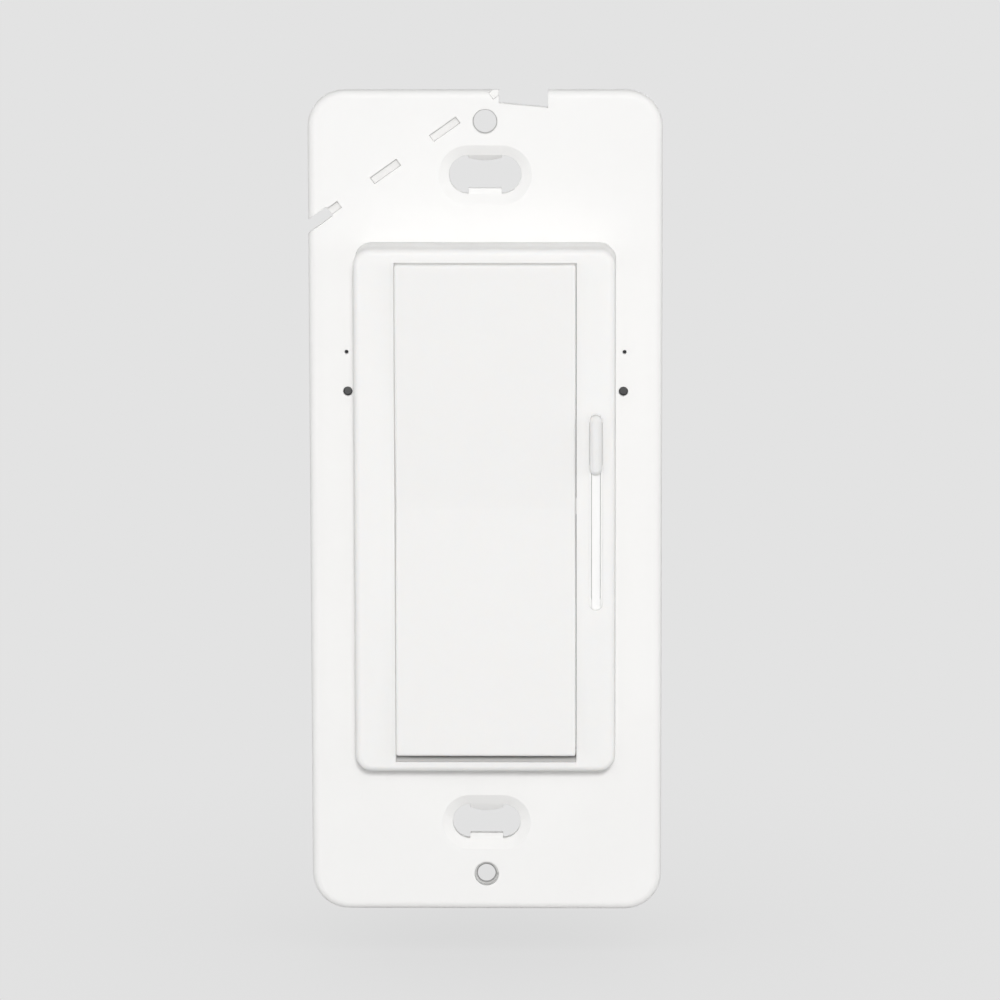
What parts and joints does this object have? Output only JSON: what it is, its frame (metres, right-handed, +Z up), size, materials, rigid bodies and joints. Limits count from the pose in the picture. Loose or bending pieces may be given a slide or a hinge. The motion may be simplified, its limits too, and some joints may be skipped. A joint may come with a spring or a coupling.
{
  "type": "smart dimmer switch",
  "caption": "Wall-mounted smart dimmer with a tall rocker paddle, a slim dimming slider in a lit groove, a raised decorator bezel, a painted metal yoke and a rear housing.",
  "frame": {"origin": "centre of the two box-screw slots, on the yoke's rear face, which lies against the wall", "axes": "+X to the right and +Z up seen from the front, +Y back into the wall box"},
  "size_m": [0.0448, 0.0405, 0.1054],
  "materials": {
    "yoke_paint": "satin white powder coat",
    "white_plastic": "satin white moulding",
    "light_pipe": "milky clear moulding",
    "led_case": "small white lamp body",
    "inner_plastic": "unpolished natural moulding",
    "dome_steel": "thin spring sheet",
    "spring_steel": "drawn wire",
    "contact_metal": "bright contact strip",
    "black_moulding": "black moulded insulator",
    "carbon_track": "matt printed carbon",
    "circuit_board": "green solder mask",
    "chip_epoxy": "moulded epoxy",
    "radio_shield": "tinned sheet",
    "triac_case": "moulded epoxy with a tinned tab",
    "silicone_pad": "grey thermal pad",
    "plated_screw": "zinc plate",
    "iron_powder": "pressed powder core",
    "copper_wire": "enamelled copper",
    "film_case": "potted box",
    "can_sleeve": "sleeved aluminium can",
    "varistor_coat": "dipped coating",
    "fuse_case": "moulded box",
    "housing_plastic": "fine-grained dark moulding",
    "dark_screw": "black oxide",
    "terminal_brass": "turned brass",
    "clamp_steel": "plated pressing",
    "ground_green": "green-dyed plating"
  },
  "bodies": {
    "switch": {"yoke": "yoke_paint", "bezel": "white_plastic", "light_guide": "light_pipe", "slider_leds": "led_case", "switch_carrier": "inner_plastic", "switch_domes": "dome_steel", "slide_potentiometer": "black_moulding", "resistive_track": "carbon_track", "control_board": "circuit_board", "microcontroller": "chip_epoxy", "radio_module": "radio_shield", "header_pins": "contact_metal", "header_blocks": "black_moulding", "power_board": "circuit_board", "triac": "triac_case", "triac_insulator": "silicone_pad", "triac_screw": "plated_screw", "choke_core": "iron_powder", "choke_winding": "copper_wire", "film_capacitor": "film_case", "electrolytic_capacitor": "can_sleeve", "varistor": "varistor_coat", "fuse": "fuse_case", "housing": "housing_plastic", "housing_screws": "dark_screw", "terminal_straps": "contact_metal", "terminal_clamps": "clamp_steel", "terminal_screws": "terminal_brass", "ground_strap": "contact_metal", "ground_clamp": "clamp_steel", "ground_screw": "ground_green", "upper_plunger_spring": "spring_steel", "lower_plunger_spring": "spring_steel"},
    "paddle": {"paddle": "white_plastic"},
    "slider": {"slider_knob": "white_plastic", "slider_shutter": "white_plastic", "slider_carriage": "inner_plastic", "wiper": "contact_metal"},
    "upper_plunger_body": {"upper_plunger": "inner_plastic"},
    "lower_plunger_body": {"lower_plunger": "inner_plastic"}
  },
  "joints": [
    {"name": "paddle_rock", "type": "hinge", "parent": "switch", "child": "paddle", "pos_m": [0.0001, -0.0077, 0.0004], "axis": [1, 0, 0], "range_deg": [-1.6, 1.6], "stiffness_Nm_per_rad": 1, "deforming": ["switch_domes"]},
    {"name": "slider_travel", "type": "slide", "parent": "switch", "child": "slider", "axis": [0, 0, 1], "range_m": [-0.0173, 0]},
    {"name": "upper_plunger_slide", "type": "slide", "parent": "switch", "child": "upper_plunger_body", "axis": [0, 1, 0], "range_m": [-0.0007, 0.0007], "deforming": ["upper_plunger_spring"]},
    {"name": "lower_plunger_slide", "type": "slide", "parent": "switch", "child": "lower_plunger_body", "axis": [0, 1, 0], "range_m": [-0.0007, 0.0007], "deforming": ["lower_plunger_spring"]}
  ],
  "couplings": [
    {"joint": "upper_plunger_slide", "follows": "paddle_rock", "m_per_rad": -0.024},
    {"joint": "lower_plunger_slide", "follows": "paddle_rock", "m_per_rad": 0.024}
  ]
}
